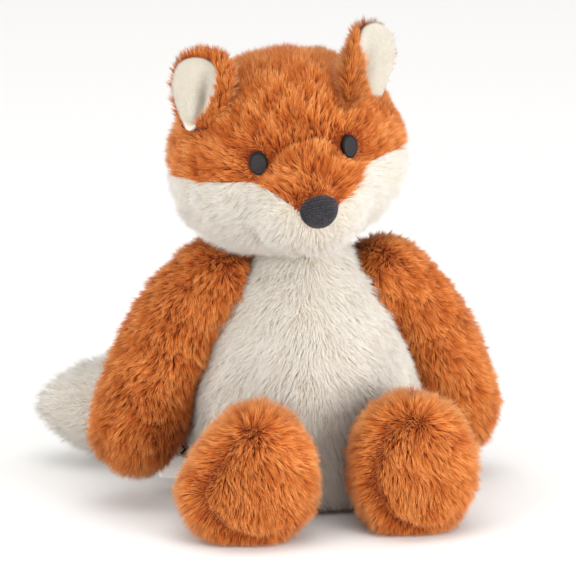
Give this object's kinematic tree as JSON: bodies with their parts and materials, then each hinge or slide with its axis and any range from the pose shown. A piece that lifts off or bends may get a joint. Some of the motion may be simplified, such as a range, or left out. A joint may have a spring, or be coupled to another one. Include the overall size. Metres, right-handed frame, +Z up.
{
  "type": "plush fox",
  "caption": "Sitting plush fox of long brushed pile, with embroidered eyes, padded nose, lined ears, sewn limbs and a full tail.",
  "frame": {"origin": "middle of the flat seat that the fox sits on, on the floor", "axes": "+Z up, -Y the way the fox faces, +X its left side"},
  "size_m": [0.2392, 0.2156, 0.2645],
  "materials": {
    "orange_pile": "long brushed pile",
    "cream_pile": "long brushed pile",
    "lining_pile": "short dense pile",
    "nose_cloth": "short matte nap",
    "eye_thread": "satin stitched thread",
    "fibre_fill": "loose fibre",
    "pouch_cloth": "plain woven",
    "satin": "satin ribbon",
    "tie_cord": "smooth cord"
  },
  "bodies": {
    "torso": {"torso_back": "orange_pile", "belly_left": "cream_pile", "belly_right": "cream_pile", "torso_stuffing": "fibre_fill", "bean_pouch": "pouch_cloth", "care_label": "satin", "tag_tie": "tie_cord"},
    "neck_wad": {"neck_wadding": "fibre_fill"},
    "neck_seam": {"neck_band": "orange_pile"},
    "head": {"head_back": "orange_pile", "head_face": "orange_pile", "cheek_left": "cream_pile", "cheek_right": "cream_pile", "head_stuffing": "fibre_fill", "nose": "nose_cloth", "eye_left": "eye_thread", "eye_right": "eye_thread"},
    "ear_left": {"ear_left_outer": "orange_pile", "ear_left_lining": "lining_pile"},
    "ear_right": {"ear_right_outer": "orange_pile", "ear_right_lining": "lining_pile"},
    "arm_left": {"arm_left_skin": "orange_pile", "arm_left_stuffing": "fibre_fill"},
    "arm_right": {"arm_right_skin": "orange_pile", "arm_right_stuffing": "fibre_fill"},
    "leg_left": {"leg_left_skin": "orange_pile", "leg_left_sole": "orange_pile", "leg_left_stuffing": "fibre_fill"},
    "leg_right": {"leg_right_skin": "orange_pile", "leg_right_sole": "orange_pile", "leg_right_stuffing": "fibre_fill"},
    "tail": {"tail_base": "orange_pile", "tail_tip": "cream_pile", "tail_stuffing": "fibre_fill"}
  },
  "joints": [
    {"name": "neck_turn", "type": "hinge", "parent": "torso", "child": "neck_wad", "pos_m": [0, -0.003, 0.14], "axis": [0, 0, 1], "range_deg": [-22, 22], "stiffness_Nm_per_rad": 0.5},
    {"name": "head_tilt", "type": "hinge", "parent": "neck_wad", "child": "neck_seam", "pos_m": [0, -0.003, 0.14], "axis": [-0.0698, 0.9976, 0], "range_deg": [-3, 17], "stiffness_Nm_per_rad": 0.6},
    {"name": "head_nod", "type": "hinge", "parent": "neck_seam", "child": "head", "pos_m": [0, -0.003, 0.14], "axis": [0.989, 0.0692, 0.1305], "range_deg": [-8, 6], "stiffness_Nm_per_rad": 0.6},
    {"name": "ear_left_fold", "type": "hinge", "parent": "head", "child": "ear_left", "pos_m": [0.03266, -0.02377, 0.22151], "axis": [0.7609, 0.6424, -0.0916], "range_deg": [-15, 15], "stiffness_Nm_per_rad": 0.02},
    {"name": "ear_right_fold", "type": "hinge", "parent": "head", "child": "ear_right", "pos_m": [-0.06294, -0.03046, 0.21394], "axis": [0.8429, -0.5303, -0.0916], "range_deg": [-15, 15], "stiffness_Nm_per_rad": 0.02},
    {"name": "arm_left_lift", "type": "hinge", "parent": "torso", "child": "arm_left", "pos_m": [0.045, 0.002, 0.121], "axis": [0, -0.9744, -0.225], "range_deg": [0, 55], "stiffness_Nm_per_rad": 0.12},
    {"name": "arm_right_lift", "type": "hinge", "parent": "torso", "child": "arm_right", "pos_m": [-0.047, 0.002, 0.124], "axis": [0, 0.9877, -0.1564], "range_deg": [0, 55], "stiffness_Nm_per_rad": 0.12},
    {"name": "leg_left_lift", "type": "hinge", "parent": "torso", "child": "leg_left", "pos_m": [0.044, -0.04, 0.029], "axis": [-1, 0, 0], "range_deg": [-12, 20], "stiffness_Nm_per_rad": 0.3},
    {"name": "leg_right_lift", "type": "hinge", "parent": "torso", "child": "leg_right", "pos_m": [-0.044, -0.04, 0.029], "axis": [-1, 0, 0], "range_deg": [-12, 20], "stiffness_Nm_per_rad": 0.3},
    {"name": "tail_swing", "type": "hinge", "parent": "torso", "child": "tail", "pos_m": [-0.012, 0.047, 0.032], "axis": [0, 0, 1], "range_deg": [-18, 18], "stiffness_Nm_per_rad": 0.12}
  ]
}
